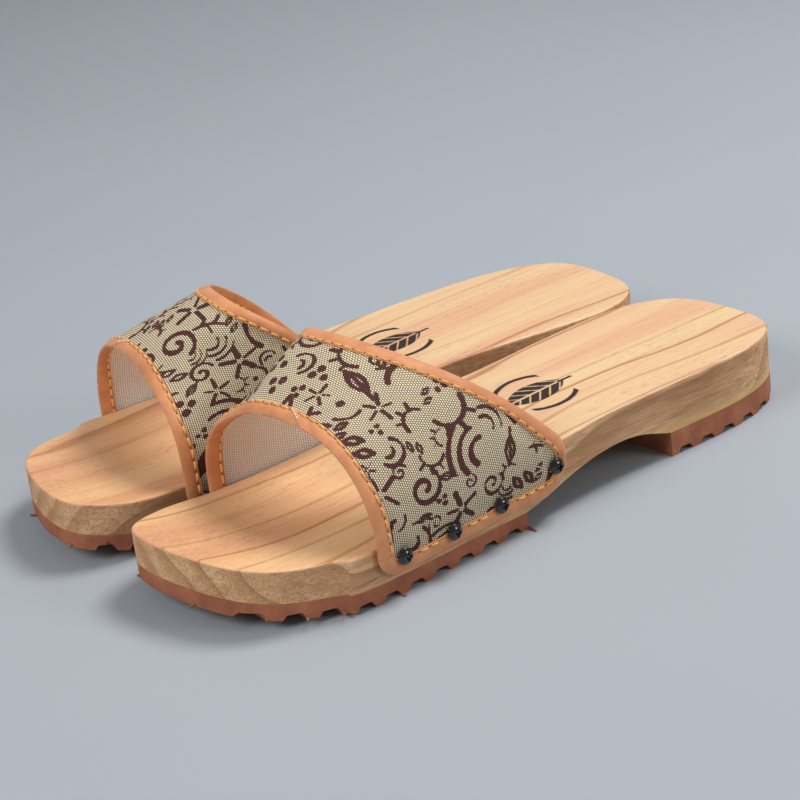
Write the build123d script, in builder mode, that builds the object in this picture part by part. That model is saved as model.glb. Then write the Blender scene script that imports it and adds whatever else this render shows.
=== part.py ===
"""A pair of wooden spa slippers: solid wood footbeds on rubber treads, with padded fabric straps.

Everything is in millimetres with +Z up and the treads standing on Z = 0. The right slipper is
modelled in its own frame: the back of the heel is at Y = 0, the toe is at +Y, and +X points to the
outer side of the foot. It is then set down with its toe toward -Y, and the left one is its mirror
image, standing at +X.
"""
from math import atan, cos, degrees, pi, radians, sin
import os

from build123d import *

os.makedirs("parts", exist_ok=True)

# ---- how the pair stands -------------------------------------------------------------------
SPLAY = 3.2                 # each toe turns outward by this many degrees
STAGGER = 2.6               # the left slipper stands back by this much, the right one forward
HEEL_X = 39.4               # the middle of each heel, to the side of the pair's middle
HEEL_Y = 44.3               # where along the slipper that middle is measured
PAIR_Y = 92.4               # the same place along Y in the pair

# ---- footbed -------------------------------------------------------------------------------
OUTER_WALL = ((39.0, 128.0), (43.4, 218.0))       # flat sides that the strap lies on
INNER_WALL = ((-38.1, 136.0), (-43.6, 229.0))
HEEL_CURVE = ((37.8, 106), (38.2, 70), (38.4, 45), (35.2, 23), (24, 5.4), (0, 0.6), (-24.5, 5.2),
              (-36.4, 23), (-38.4, 46), (-36.8, 78), (-35.6, 108))
TOE_CURVE = ((-44.6, 244.5), (-41.3, 258.6), (-33.8, 268.8), (-21.0, 272.2), (0.0, 270.2),
             (19.6, 263.9), (33.9, 249.3), (41.4, 231.6))
TOP_CURVE = ((-8, 28.6), (60, 29.5), (120, 28.3), (180, 23.4), (230, 21.2), (282, 29.2))
RIM_ROUND = 1.0
WOOD_TOP = 34.0             # above every part of the footbed

# ---- treads --------------------------------------------------------------------------------
HEEL_BLOCK_LENGTH = 74.0
HEEL_BLOCK_HEIGHT = 10.0
ARCH_PEAK = 15.2            # underside of the wood between heel block and forefoot tread
FOREFOOT_BACK = 149.0
FOREFOOT_TREAD = 6.6        # rubber thickness under the ball of the foot
TOE_SPRING_START = 206.0
TOE_LIFT = 7.2              # the tread's rise at the very toe
GROOVE_DEPTH = 2.4
GROOVE_PITCH = 11.6
GROOVE_MOUTH = 8.0          # width at the ground
GROOVE_FLOOR = 4.8

# ---- strap ---------------------------------------------------------------------------------
TAPE = 0.6                  # one wing of the edge tape
LINING = 0.5
FOAM = 1.2
FABRIC = 0.7
TAPE_FOLD = 1.0             # tape beyond the edge of the cloth it wraps
TAPE_WIDTH = 5.6            # from the fold to the tape's inner edge
STRAP_SKEW = 5.1            # the strap is cut square to a line this far off the slipper's length
STRAP_FRONT = 223.1
STRAP_BOTTOM_FRONT = 9.2
STRAP_BOTTOM_BACK = 10.4
STRAP_BACK = 132.0
STRAP_SHOULDER = 28.0       # height at which the back edge turns forward over the foot
STRAP_BROW_MIDDLE = (154.5, 52.5)
STRAP_BROW_END = (201.5, 88.0)
STRAP_ABOVE = 92.0          # above every part of the strap
FRONT_CORNER = 8.4
BACK_CORNER = 12.0
SHOULDER_CORNER = 12.0
FRONT_SECTION_Y = 232.0     # the arch just ahead of the strap's front edge
FRONT_SPRING = 21.5
FRONT_CREST = 55.6
FRONT_CREST_X = 12.0
FRONT_FULLNESS = (2.1, 2.9)   # how square each shoulder of the arch is, outer side first
BACK_SECTION_Y = 120.0      # the arch behind the strap, in a plane that leans forward
BACK_LEAN = 50.0
BACK_SPRING = 27.3
BACK_CREST = 78.0
BACK_CREST_X = -12.0
BACK_FULLNESS = (2.0, 4.6)

# ---- screws --------------------------------------------------------------------------------
SCREW_SPOTS = ((138.5, 20.7), (166.5, 16.4), (189.5, 15.4), (212.5, 15.7))
HEAD_RADIUS = 3.1
HEAD_HEIGHT = 2.0
SHANK_RADIUS = 1.5
SHANK_LENGTH = 16.0
HOLE_PLAY = 0.05
RECESS_LENGTH = 3.4
RECESS_WIDTH = 0.9
RECESS_DEPTH = 1.3         # from just above the crown of the head
STRAP_STACK = TAPE + LINING + FOAM + FABRIC + TAPE      # from the wood to the outer tape


def wall_slope(wall):
    """How far a side wall moves along X for each millimetre toward the toe."""
    (x0, y0), (x1, y1) = wall
    return (x1 - x0) / (y1 - y0)


def wall_x(wall, y):
    """Where a side wall, or the flat plane that carries it on, stands at y."""
    return wall[0][0] + (y - wall[0][1]) * wall_slope(wall)


# ---- shared outlines -----------------------------------------------------------------------
TOE_Y = 276.0               # past the toe, so that the footprint does the cutting
HEEL_END = -4.0             # past the heel, for the same reason

with BuildSketch() as footprint:
    with BuildLine():
        outer = Line(*OUTER_WALL)
        inner = Line(*INNER_WALL)
        forward_outer = Vector(wall_slope(OUTER_WALL), 1)
        forward_inner = Vector(wall_slope(INNER_WALL), 1)
        Spline(outer @ 0, *HEEL_CURVE, inner @ 0, tangents=(forward_outer * -1, forward_inner))
        Spline(inner @ 1, *TOE_CURVE, outer @ 1, tangents=(forward_inner, forward_outer * -1))
    make_face()


def forefoot_seam():
    """Draws the line where the wood meets the forefoot rubber, from the arch to the toe."""
    ball = Line((FOREFOOT_BACK, FOREFOOT_TREAD), (TOE_SPRING_START, FOREFOOT_TREAD + 0.4))
    lift = Spline(ball @ 1, (244, 9.4), (TOE_Y, TOE_LIFT + 7.6), tangents=(ball % 1, (1, 0.25)))
    return ball @ 0, lift @ 1


# ---- wood footbed --------------------------------------------------------------------------
def wall_plane(wall, y, z, lift=0.0):
    """A plane on a side wall, with its normal pointing away from the foot."""
    side = 1 if wall is OUTER_WALL else -1
    normal = Vector(side, -side * wall_slope(wall), 0).normalized()
    return Plane(origin=Vector(wall_x(wall, y), y, z) + normal * lift, x_dir=(0, 0, 1), z_dir=normal)


def screw_planes(lift=0.0):
    """The places of the eight screws, outer side first, each with its name."""
    skew = sin(radians(STRAP_SKEW))
    for name, wall in (("outer", OUTER_WALL), ("inner", INNER_WALL)):
        for number, (along, height) in enumerate(SCREW_SPOTS, start=1):
            y = (along - skew * wall_x(wall, along)) / cos(radians(STRAP_SKEW))
            yield f"{name}_screw_{number}", wall_plane(wall, y, height, lift)


with BuildPart() as wood_sole:
    with BuildSketch(Plane.YZ):
        with BuildLine():
            heel_seat = Line((HEEL_END, HEEL_BLOCK_HEIGHT), (HEEL_BLOCK_LENGTH, HEEL_BLOCK_HEIGHT))
            seam_start, seam_end = forefoot_seam()
            Spline(heel_seat @ 1, (87, 14.0), (106, ARCH_PEAK), (128, 11.6), seam_start,
                   tangents=((1, 0.25), (1, -0.15)))
            top = Spline(*TOP_CURVE)
            Line(heel_seat @ 0, top @ 0)
            Line(seam_end, top @ 1)
        make_face()
    extrude(amount=80, both=True)
    with BuildSketch():
        add(footprint.sketch)
    extrude(amount=WOOD_TOP + 10, mode=Mode.INTERSECT)
    fillet(wood_sole.faces().sort_by(Axis.Z)[-1].edges(), radius=RIM_ROUND)
    for _, spot in screw_planes():
        with BuildSketch(spot):
            Circle(SHANK_RADIUS + HOLE_PLAY)
        extrude(amount=-(SHANK_LENGTH - STRAP_STACK + 1), mode=Mode.SUBTRACT)


# ---- rubber treads -------------------------------------------------------------------------
def ground_height(y):
    """How far the tread has lifted off the ground at y."""
    if y <= TOE_SPRING_START:
        return 0.0
    return TOE_LIFT * ((y - TOE_SPRING_START) / (270 - TOE_SPRING_START)) ** 2


def grooves(first, last):
    """Bars for the cross grooves along a stretch of tread, wider at the ground than at their floor."""
    with BuildPart() as bars:
        for step in range(int((last - first) / GROOVE_PITCH) + 1):
            y = first + step * GROOVE_PITCH
            ground = ground_height(y)
            with BuildSketch(Plane.YZ):
                with BuildLine():
                    Polyline((y - GROOVE_MOUTH / 2, ground - 3), (y - GROOVE_MOUTH / 2, ground),
                             (y - GROOVE_FLOOR / 2, ground + GROOVE_DEPTH),
                             (y + GROOVE_FLOOR / 2, ground + GROOVE_DEPTH),
                             (y + GROOVE_MOUTH / 2, ground), (y + GROOVE_MOUTH / 2, ground - 3), close=True)
                make_face()
            extrude(amount=80, both=True)
    return bars.part


with BuildPart() as heel_tread:
    with BuildSketch(Plane.YZ):
        with BuildLine():
            Polyline((HEEL_END, 0), (HEEL_BLOCK_LENGTH, 0), (HEEL_BLOCK_LENGTH, HEEL_BLOCK_HEIGHT),
                     (HEEL_END, HEEL_BLOCK_HEIGHT), close=True)
        make_face()
    extrude(amount=80, both=True)
    with BuildSketch():
        add(footprint.sketch)
    extrude(amount=WOOD_TOP, mode=Mode.INTERSECT)
    add(grooves(9.0, HEEL_BLOCK_LENGTH - 4), mode=Mode.SUBTRACT)

with BuildPart() as forefoot_tread:
    with BuildSketch(Plane.YZ):
        with BuildLine():
            seam_start, seam_end = forefoot_seam()
            ground = Line((FOREFOOT_BACK, 0), (TOE_SPRING_START, 0))
            lift_points = [(y, ground_height(y)) for y in (222, 238, 254, 270)]
            toe = Spline(ground @ 1, *lift_points, (TOE_Y, ground_height(TOE_Y)), tangents=((1, 0), (1, 0.23)))
            Line(seam_start, ground @ 0)
            Line(seam_end, toe @ 1)
        make_face()
    extrude(amount=80, both=True)
    with BuildSketch():
        add(footprint.sketch)
    extrude(amount=WOOD_TOP, mode=Mode.INTERSECT)
    add(grooves(FOREFOOT_BACK + 7.5, 266), mode=Mode.SUBTRACT)


# ---- strap ---------------------------------------------------------------------------------
def arch_outline(plane, wall_y, foot, spring, crest, crest_x, fullness, grow):
    """Draws and fills one cross section of the space under a strap layer.

    The arch is two quarters of a rounded square-shouldered curve that meet at the crest, and
    grow moves the whole curve outward.
    """
    outer_x = wall_x(OUTER_WALL, wall_y[1]) + grow
    inner_x = wall_x(INNER_WALL, wall_y[1]) - grow
    outer_foot = wall_x(OUTER_WALL, wall_y[0]) + grow
    inner_foot = wall_x(INNER_WALL, wall_y[0]) - grow
    points = []
    for step in range(1, 12):
        turn = pi * step / 12
        power = 2 / fullness[0] if turn < pi / 2 else 2 / fullness[1]
        reach = outer_x - crest_x if turn < pi / 2 else crest_x - inner_x
        across = abs(cos(turn)) ** power * (1 if turn < pi / 2 else -1)
        rise = sin(turn) ** power
        points.append((crest_x + reach * across, spring + (crest + grow - spring) * rise))
    with BuildSketch(plane) as section:
        with BuildLine():
            arch = Spline((outer_x, spring), *points, (inner_x, spring), tangents=((0, 1), (0, -1)))
            Polyline(arch @ 1, (inner_foot, foot), (outer_foot, foot), arch @ 0)
        make_face()
    return section.sketch


def under_strap(grow):
    """The solid space under a surface that stands grow outside the walls and the strap's inner face."""
    lean = cos(radians(BACK_LEAN))
    front = Plane(origin=(0, FRONT_SECTION_Y, 0), x_dir=(1, 0, 0), z_dir=(0, -1, 0))
    rise = (0, sin(radians(BACK_LEAN)), lean)
    back_foot = 2.0
    back_foot_y = BACK_SECTION_Y - (BACK_SPRING - back_foot) * sin(radians(BACK_LEAN)) / lean
    back = Plane(origin=(0, back_foot_y, back_foot), x_dir=(1, 0, 0),
                 z_dir=Vector(1, 0, 0).cross(Vector(*rise)))
    with BuildPart() as space:
        front_arch = arch_outline(front, (FRONT_SECTION_Y, FRONT_SECTION_Y), 2.0, FRONT_SPRING,
                                  FRONT_CREST, FRONT_CREST_X, FRONT_FULLNESS, grow)
        back_arch = arch_outline(back, (back_foot_y, BACK_SECTION_Y), 0.0, (BACK_SPRING - back_foot) / lean,
                                 (BACK_CREST - back_foot) / lean, BACK_CREST_X, BACK_FULLNESS, grow)
        loft(sections=(front_arch, back_arch), ruled=True)
    return space.part


def strap_window(inset):
    """A bar across the slipper with the strap's side view, brought in by inset all round."""
    skew = radians(STRAP_SKEW)
    across = Plane(origin=(0, 0, 0), x_dir=(sin(skew), cos(skew), 0), z_dir=(cos(skew), -sin(skew), 0))
    with BuildPart() as bar:
        with BuildSketch(across) as window:
            with BuildLine():
                base = Line((STRAP_BACK, STRAP_BOTTOM_BACK), (STRAP_FRONT, STRAP_BOTTOM_FRONT))
                front = Line(base @ 1, (STRAP_FRONT, STRAP_ABOVE))
                heelward = Line(base @ 0, (STRAP_BACK, STRAP_SHOULDER))
                brow = ThreePointArc(heelward @ 1, STRAP_BROW_MIDDLE, STRAP_BROW_END)
                Line(brow @ 1, front @ 1)
            make_face()
            for corner, radius in ((base @ 1, FRONT_CORNER), (base @ 0, BACK_CORNER),
                                   (heelward @ 1, SHOULDER_CORNER)):
                fillet(window.vertices().sort_by_distance(corner)[0], radius=radius)
            if inset:
                offset(amount=-inset, kind=Kind.INTERSECTION)
        extrude(amount=90, both=True)
    return bar.part


def strap_layer(inside, outside, inset):
    """One layer of the strap, between two distances from the walls, cut to the strap's outline."""
    with BuildPart() as layer:
        add(under_strap(outside))
        add(under_strap(inside), mode=Mode.SUBTRACT)
        add(strap_window(inset), mode=Mode.INTERSECT)
        for _, spot in screw_planes():
            with BuildSketch(spot):
                Circle(SHANK_RADIUS + HOLE_PLAY)
            extrude(amount=STRAP_STACK + 2, mode=Mode.SUBTRACT)
    return layer


vamp_lining = strap_layer(TAPE, TAPE + LINING, TAPE_FOLD)
vamp_foam = strap_layer(TAPE + LINING, TAPE + LINING + FOAM, TAPE_FOLD)
vamp_fabric = strap_layer(TAPE + LINING + FOAM, STRAP_STACK - TAPE, TAPE_FOLD)

with BuildPart() as edge_tape:
    add(strap_layer(0, STRAP_STACK, 0).part)
    add(strap_window(TAPE_WIDTH), mode=Mode.SUBTRACT)
    add(strap_layer(TAPE, STRAP_STACK - TAPE, TAPE_FOLD).part, mode=Mode.SUBTRACT)

# ---- screws --------------------------------------------------------------------------------
with BuildPart() as screw:
    with BuildSketch(Plane.XZ):
        with BuildLine():
            body = Polyline((0, -SHANK_LENGTH), (0.4, -SHANK_LENGTH), (SHANK_RADIUS, 3 - SHANK_LENGTH),
                            (SHANK_RADIUS, 0), (HEAD_RADIUS, 0), (HEAD_RADIUS, 0.5))
            crown = ThreePointArc(body @ 1, (HEAD_RADIUS * 0.62, HEAD_HEIGHT * 0.8), (0, HEAD_HEIGHT))
            Line(crown @ 1, body @ 0)
        make_face()
    revolve(axis=Axis.Z)
    with BuildSketch(Plane.XY.offset(HEAD_HEIGHT + 0.2)):
        Rectangle(RECESS_LENGTH, RECESS_WIDTH)
        Rectangle(RECESS_WIDTH, RECESS_LENGTH)
    extrude(amount=-RECESS_DEPTH, mode=Mode.SUBTRACT)

pieces = {
    "wood_sole": wood_sole.part,
    "heel_tread": heel_tread.part,
    "forefoot_tread": forefoot_tread.part,
    "vamp_lining": vamp_lining.part,
    "vamp_foam": vamp_foam.part,
    "vamp_fabric": vamp_fabric.part,
    "edge_tape": edge_tape.part,
}
for name, spot in screw_planes(lift=STRAP_STACK):
    pieces[name] = screw.part.moved(spot.location)

# ---- the pair ------------------------------------------------------------------------------
def standing(stagger):
    """Where the right slipper's frame stands: toe toward -Y, splayed, and shifted back by stagger."""
    splay = radians(SPLAY)
    toe = Vector(-sin(splay), -cos(splay), 0)
    origin = Vector(-HEEL_X, PAIR_Y + stagger, 0) - toe * HEEL_Y
    return Plane(origin=origin, x_dir=(-cos(splay), sin(splay), 0), z_dir=(0, 0, 1)).location


for name, piece in pieces.items():
    right = piece.moved(standing(-STAGGER))
    left = mirror(piece.moved(standing(STAGGER)), about=Plane.YZ)
    for side, solid in (("left", left), ("right", right)):
        solid.label = f"{side}_{name}"
        export_step(solid, f"parts/{side}_{name}.step")
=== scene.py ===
"""Looks for a pair of wooden spa slippers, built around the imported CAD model.

Lengths are millimetres in one slipper's own frame (x to the outer side, y from heel to toe, z up)
until place() turns them into metres in the frame of the pair.
"""
import math
import random

import bpy
import numpy as np
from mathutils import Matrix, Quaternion, Vector


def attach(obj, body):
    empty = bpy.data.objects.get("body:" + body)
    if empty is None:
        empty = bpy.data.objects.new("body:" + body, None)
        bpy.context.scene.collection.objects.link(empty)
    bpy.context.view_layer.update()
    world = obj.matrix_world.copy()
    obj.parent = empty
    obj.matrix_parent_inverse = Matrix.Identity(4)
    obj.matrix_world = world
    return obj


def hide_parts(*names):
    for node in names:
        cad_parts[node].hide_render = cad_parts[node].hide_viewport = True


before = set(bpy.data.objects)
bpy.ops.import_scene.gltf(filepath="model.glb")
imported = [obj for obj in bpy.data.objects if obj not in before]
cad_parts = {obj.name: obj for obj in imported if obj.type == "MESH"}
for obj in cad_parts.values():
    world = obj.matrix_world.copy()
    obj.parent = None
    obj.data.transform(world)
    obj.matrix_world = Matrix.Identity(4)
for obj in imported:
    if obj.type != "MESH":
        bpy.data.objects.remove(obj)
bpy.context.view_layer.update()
SIDES = {"left": 1, "right": -1}

# ---- how the pair stands and what the strap follows, as in the CAD source -------------------
SPLAY = math.radians(3.2)
STAGGER = 2.6
HEEL_X = 39.4
HEEL_Y = 44.3
PAIR_Y = 92.4
OUTER_WALL = ((39.0, 128.0), (43.4, 218.0))
INNER_WALL = ((-38.1, 136.0), (-43.6, 229.0))
SKEW = math.radians(5.1)
STRAP_FRONT = 223.1
STRAP_BACK = 132.0
BOTTOM_FRONT = 9.2
BOTTOM_BACK = 10.4
BROW = ((132.0, 28.0), (154.5, 52.5), (201.5, 88.0))
FRONT_CORNER = 9.0
BACK_CORNER = 12.0
SHOULDER_CORNER = 12.0
FRONT_Y, FRONT_SPRING, FRONT_CREST, FRONT_CREST_X, FRONT_FULLNESS = 232.0, 21.5, 55.6, 12.0, (2.1, 2.9)
BACK_Y, BACK_SPRING, BACK_CREST, BACK_CREST_X, BACK_FULLNESS = 120.0, 27.3, 78.0, -12.0, (2.0, 4.6)
BACK_LEAN = math.radians(50)
SCREW_SPOTS = ((138.5, 20.7), (166.5, 16.4), (189.5, 15.4), (212.5, 15.7))
STITCH_INSET = 4.6
STITCH_PITCH = 4.7
JOIN = 0.44          # how far round the front edge the two tape ends meet, from the outer side
SIDE_SPREAD = 1.08   # the tape is a little wider on the sides than over the foot
CREST_SPREAD = 0.84
LEAF_PLACE = (0.5, 107.0, 29.0)


def place(points, side):
    """Points of one slipper's own frame, in metres in the frame of the pair."""
    p = np.asarray(points, float)
    x, y, z = p[..., 0], p[..., 1] - HEEL_Y, p[..., 2]
    c, s = math.cos(SPLAY), math.sin(SPLAY)
    return np.stack((side * (HEEL_X + y * s + x * c), PAIR_Y + side * STAGGER - y * c + x * s, z), -1) / 1000


def wall_line(wall):
    """Slope and start of a side wall's line, x = start + slope * y."""
    (x0, y0), (x1, y1) = wall
    slope = (x1 - x0) / (y1 - y0)
    return slope, x0 - slope * y0


def base_height(s):
    """Height of the strap's lower edge at a place along the slipper."""
    return BOTTOM_BACK + (s - STRAP_BACK) * (BOTTOM_FRONT - BOTTOM_BACK) / (STRAP_FRONT - STRAP_BACK)


# ---- the strap's surface -------------------------------------------------------------------
def end_section(y_at, spring, crest, crest_x, fullness, lift):
    """One end of the strap's surface as base points and the way they move as the strap thickens."""
    outer_slope, outer_start = wall_line(OUTER_WALL)
    inner_slope, inner_start = wall_line(INNER_WALL)
    y_spring = y_at(spring)
    outer_x = outer_start + outer_slope * y_spring
    inner_x = inner_start + inner_slope * y_spring
    turn = np.linspace(0, math.pi, 1601)
    outer = turn < math.pi / 2
    power = np.where(outer, 2 / fullness[0], 2 / fullness[1])
    reach = np.where(outer, outer_x - crest_x, crest_x - inner_x)
    across = np.sign(np.cos(turn)) * np.abs(np.cos(turn)) ** power
    rise = np.abs(np.sin(turn)) ** power
    x, z = crest_x + reach * across, spring + (crest - spring) * rise
    points = np.stack((x, y_at(z), z), -1)
    grow_z = lift * rise
    ways = np.stack((across, grow_z * (y_at(1.0) - y_at(0.0)), grow_z), -1)
    run = np.r_[0, np.cumsum(np.linalg.norm(np.diff(points, axis=0), axis=1))]
    share = np.linspace(0, 1, 241)
    points = np.stack([np.interp(share, run / run[-1], points[:, k]) for k in range(3)], -1)
    ways = np.stack([np.interp(share, run / run[-1], ways[:, k]) for k in range(3)], -1)
    foot = base_height(y_at(10.0))
    flat = np.linspace(0, 1, 9)[:-1, None]
    outer_foot = np.array((outer_start + outer_slope * y_at(foot), y_at(foot), foot))
    inner_foot = np.array((inner_start + inner_slope * y_at(foot), y_at(foot), foot))
    points = np.concatenate((outer_foot * (1 - flat) + points[0] * flat, points,
                             (points[-1] * (1 - flat) + inner_foot * flat)[1:], inner_foot[None]))
    ways = np.concatenate((np.repeat(ways[:1], 8, 0), ways, np.repeat(ways[-1:], 8, 0)))
    return points, ways, run[-1]


FRONT_POINTS, FRONT_WAYS, FRONT_RUN = end_section(
    lambda z: FRONT_Y + 0 * z, FRONT_SPRING, FRONT_CREST, FRONT_CREST_X, FRONT_FULLNESS, 1.0)
BACK_POINTS, BACK_WAYS, BACK_RUN = end_section(
    lambda z: BACK_Y + math.tan(BACK_LEAN) * (z - BACK_SPRING), BACK_SPRING, BACK_CREST, BACK_CREST_X,
    BACK_FULLNESS, math.cos(BACK_LEAN))
FLAT_RUN = FRONT_SPRING - BOTTOM_FRONT
STATIONS = np.r_[np.linspace(0, FLAT_RUN, 9)[:-1], np.linspace(FLAT_RUN, FLAT_RUN + FRONT_RUN, 241),
                 np.linspace(FLAT_RUN + FRONT_RUN, 2 * FLAT_RUN + FRONT_RUN, 9)[1:]]
ALL_ROUND = STATIONS[-1]


def spread(table, station):
    """A table's row at each station, between its own stations."""
    return np.stack([np.interp(station, STATIONS, table[:, k]) for k in range(3)], -1)


def surface(station, back, grow):
    """Strap surface: station runs from the outer edge over the foot, back runs from toe to heel."""
    back, grow = np.asarray(back, float)[..., None], np.asarray(grow, float)[..., None]
    front = spread(FRONT_POINTS, station) + grow * spread(FRONT_WAYS, station)
    rear = spread(BACK_POINTS, station) + grow * spread(BACK_WAYS, station)
    return front * (1 - back) + rear * back


def along(points):
    """Distance along the line that the strap is cut square to."""
    return points[..., 0] * math.sin(SKEW) + points[..., 1] * math.cos(SKEW)


def brow_circle():
    """Middle and radius of the arc that the strap's back edge follows, through three points."""
    (ax, ay), (bx, by), (cx, cy) = BROW
    d = 2 * (ax * (by - cy) + bx * (cy - ay) + cx * (ay - by))
    a, b, c = ax * ax + ay * ay, bx * bx + by * by, cx * cx + cy * cy
    x = (a * (by - cy) + b * (cy - ay) + c * (ay - by)) / d
    y = (a * (cx - bx) + b * (ax - cx) + c * (bx - ax)) / d
    return x, y, math.hypot(ax - x, ay - y)


BROW_X, BROW_Z, BROW_R = brow_circle()


def arc_points(centre, radius, start, end, count):
    """Points of an arc between two angles in degrees."""
    a = np.radians(np.linspace(start, end, count))
    return np.stack((centre[0] + radius * np.cos(a), centre[1] + radius * np.sin(a)), -1)


def front_outline(inset):
    """The strap's front edge in its side view, from the bottom corner up."""
    centre = (STRAP_FRONT - FRONT_CORNER, base_height(STRAP_FRONT) + FRONT_CORNER)
    return np.concatenate((arc_points(centre, FRONT_CORNER - inset, -90, 0, 24),
                           [(STRAP_FRONT - inset, 120.0)]))


def back_outline(inset):
    """The strap's back edge in its side view, from the bottom corner up."""
    low = (STRAP_BACK + BACK_CORNER, base_height(STRAP_BACK) + BACK_CORNER)
    s = STRAP_BACK + SHOULDER_CORNER
    shoulder = (s, BROW_Z + math.sqrt((BROW_R - SHOULDER_CORNER) ** 2 - (s - BROW_X) ** 2))
    turn = math.degrees(math.atan2(shoulder[1] - BROW_Z, shoulder[0] - BROW_X))
    return np.concatenate((arc_points(low, BACK_CORNER - inset, 270, 180, 24),
                           arc_points(shoulder, SHOULDER_CORNER - inset, 180, turn, 16),
                           arc_points((BROW_X, BROW_Z), BROW_R - inset, turn, turn - 36, 60)[1:]))


def meet(station, grow, outline):
    """How far back each station's line meets one edge of the strap."""
    low, high = np.full(np.shape(station), -0.2), np.full(np.shape(station), 1.3)
    for _ in range(34):
        middle = (low + high) / 2
        p = surface(station, middle, grow)
        ahead = along(p) > np.interp(p[..., 2], outline[:, 1], outline[:, 0])
        low, high = np.where(ahead, middle, low), np.where(ahead, high, middle)
    return low


def on_wall(wall, s, z, grow):
    """The point of a side wall seen at (s, z) in the strap's side view."""
    slope, start = wall_line(wall)
    start = start + (grow if wall is OUTER_WALL else -grow)
    y = (s - math.sin(SKEW) * start) / (math.cos(SKEW) + slope * math.sin(SKEW))
    return np.stack((start + slope * y, y, z + 0 * y), -1)


def inset_of(points):
    """How far inside the strap's cut edge a point of its surface lies, in side view."""
    s, z = along(points), points[..., 2]
    brow = BROW_R - np.hypot(s - BROW_X, z - BROW_Z)
    return np.minimum(np.minimum(STRAP_FRONT - s, s - STRAP_BACK), np.minimum(z - base_height(s), brow))


def ease(x):
    """A smooth step from 0 to 1."""
    x = np.clip(x, 0, 1)
    return x * x * (3 - 2 * x)


def screw_press(points):
    """From 0 to 1 near the screws, where their heads press the strap down."""
    s, z = along(points), points[..., 2]
    near = np.full(s.shape, 1e3)
    for spot_s, spot_z in SCREW_SPOTS:
        near = np.minimum(near, np.hypot(s - spot_s, z - spot_z))
    return 1 - ease((near - 2.6) / 3.4)


def waves(a, b, seed):
    """A smooth gentle unevenness between about -1 and 1."""
    rng = random.Random(seed)
    total = 0 * a
    for size in (46, 33, 21, 14):
        turn, phase = rng.uniform(0, math.pi), rng.uniform(0, 6.28)
        total = total + np.sin((a * math.cos(turn) + b * math.sin(turn)) * 6.28 / size + phase) * size / 46
    return total / 2


# ---- mesh helpers --------------------------------------------------------------------------
def build(name, points, faces, side, facts=None, smooth=True):
    """A mesh object from points of one slipper's frame, mirrored for the left one."""
    mesh = bpy.data.meshes.new(name)
    faces = np.asarray(faces)
    if side > 0:
        faces = faces[:, ::-1]
    mesh.from_pydata(place(points, side).tolist(), [], faces.tolist())
    for key, values in (facts or {}).items():
        values = np.asarray(values, np.float32)
        kind = "FLOAT_VECTOR" if values.ndim == 2 else "FLOAT"
        layer = mesh.attributes.new(key, kind, "POINT")
        layer.data.foreach_set("vector" if values.ndim == 2 else "value", values.ravel())
    mesh.polygons.foreach_set("use_smooth", [smooth] * len(mesh.polygons))
    mesh.validate()
    mesh.update()
    piece = bpy.data.objects.new(name, mesh)
    bpy.context.scene.collection.objects.link(piece)
    return piece


def grid_faces(rows, columns, wrap_rows=False, wrap_columns=False, start=0):
    """Quads of a grid of points, closed round on itself where asked."""
    r = np.arange(rows if wrap_rows else rows - 1)
    c = np.arange(columns if wrap_columns else columns - 1)
    r, c = np.meshgrid(r, c, indexing="ij")
    r1, c1 = (r + 1) % rows, (c + 1) % columns
    quads = np.stack((r * columns + c, r * columns + c1, r1 * columns + c1, r1 * columns + c), -1)
    return quads.reshape(-1, 4) + start


def tubes(paths, radius, sides=7):
    """Closed round tubes along several short paths; each path comes with an outward direction."""
    points, faces = [], []
    count = 0
    for path, outward in paths:
        path = np.asarray(path, float)
        way = np.gradient(path, axis=0)
        way /= np.linalg.norm(way, axis=1, keepdims=True)
        up = outward - (way @ outward)[:, None] * way
        up /= np.linalg.norm(up, axis=1, keepdims=True)
        cross = np.cross(way, up)
        n = len(path)
        taper = np.sin(np.linspace(0.32, math.pi - 0.32, n)) ** 0.35
        a = np.linspace(0, 2 * math.pi, sides, endpoint=False)
        ring = path[:, None] + radius * taper[:, None, None] * (
            np.cos(a)[None, :, None] * up[:, None] + np.sin(a)[None, :, None] * cross[:, None])
        points.append(ring.reshape(-1, 3))
        faces += grid_faces(n, sides, wrap_columns=True, start=count).tolist()
        for end in (0, n - 1):
            tip = len(ring.reshape(-1, 3)) + count + (1 if end else 0)
            for k in range(sides):
                a0, a1 = count + end * sides + k, count + end * sides + (k + 1) % sides
                faces.append([tip, a1, a0, a0] if end == 0 else [tip, a0, a1, a1])
        points.append(np.array((path[0] - way[0] * radius * 0.4, path[-1] + way[-1] * radius * 0.4)))
        count += n * sides + 2
    flat = [f[:3] if f[2] == f[3] else f for f in faces]
    return np.concatenate(points), flat


# ---- node helpers --------------------------------------------------------------------------
def linear(r, g, b):
    """A colour named by its 0 to 255 display values."""
    out = []
    for v in (r, g, b):
        v /= 255
        out.append(v / 12.92 if v <= 0.04045 else ((v + 0.055) / 1.055) ** 2.4)
    return (*out, 1.0)


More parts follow.
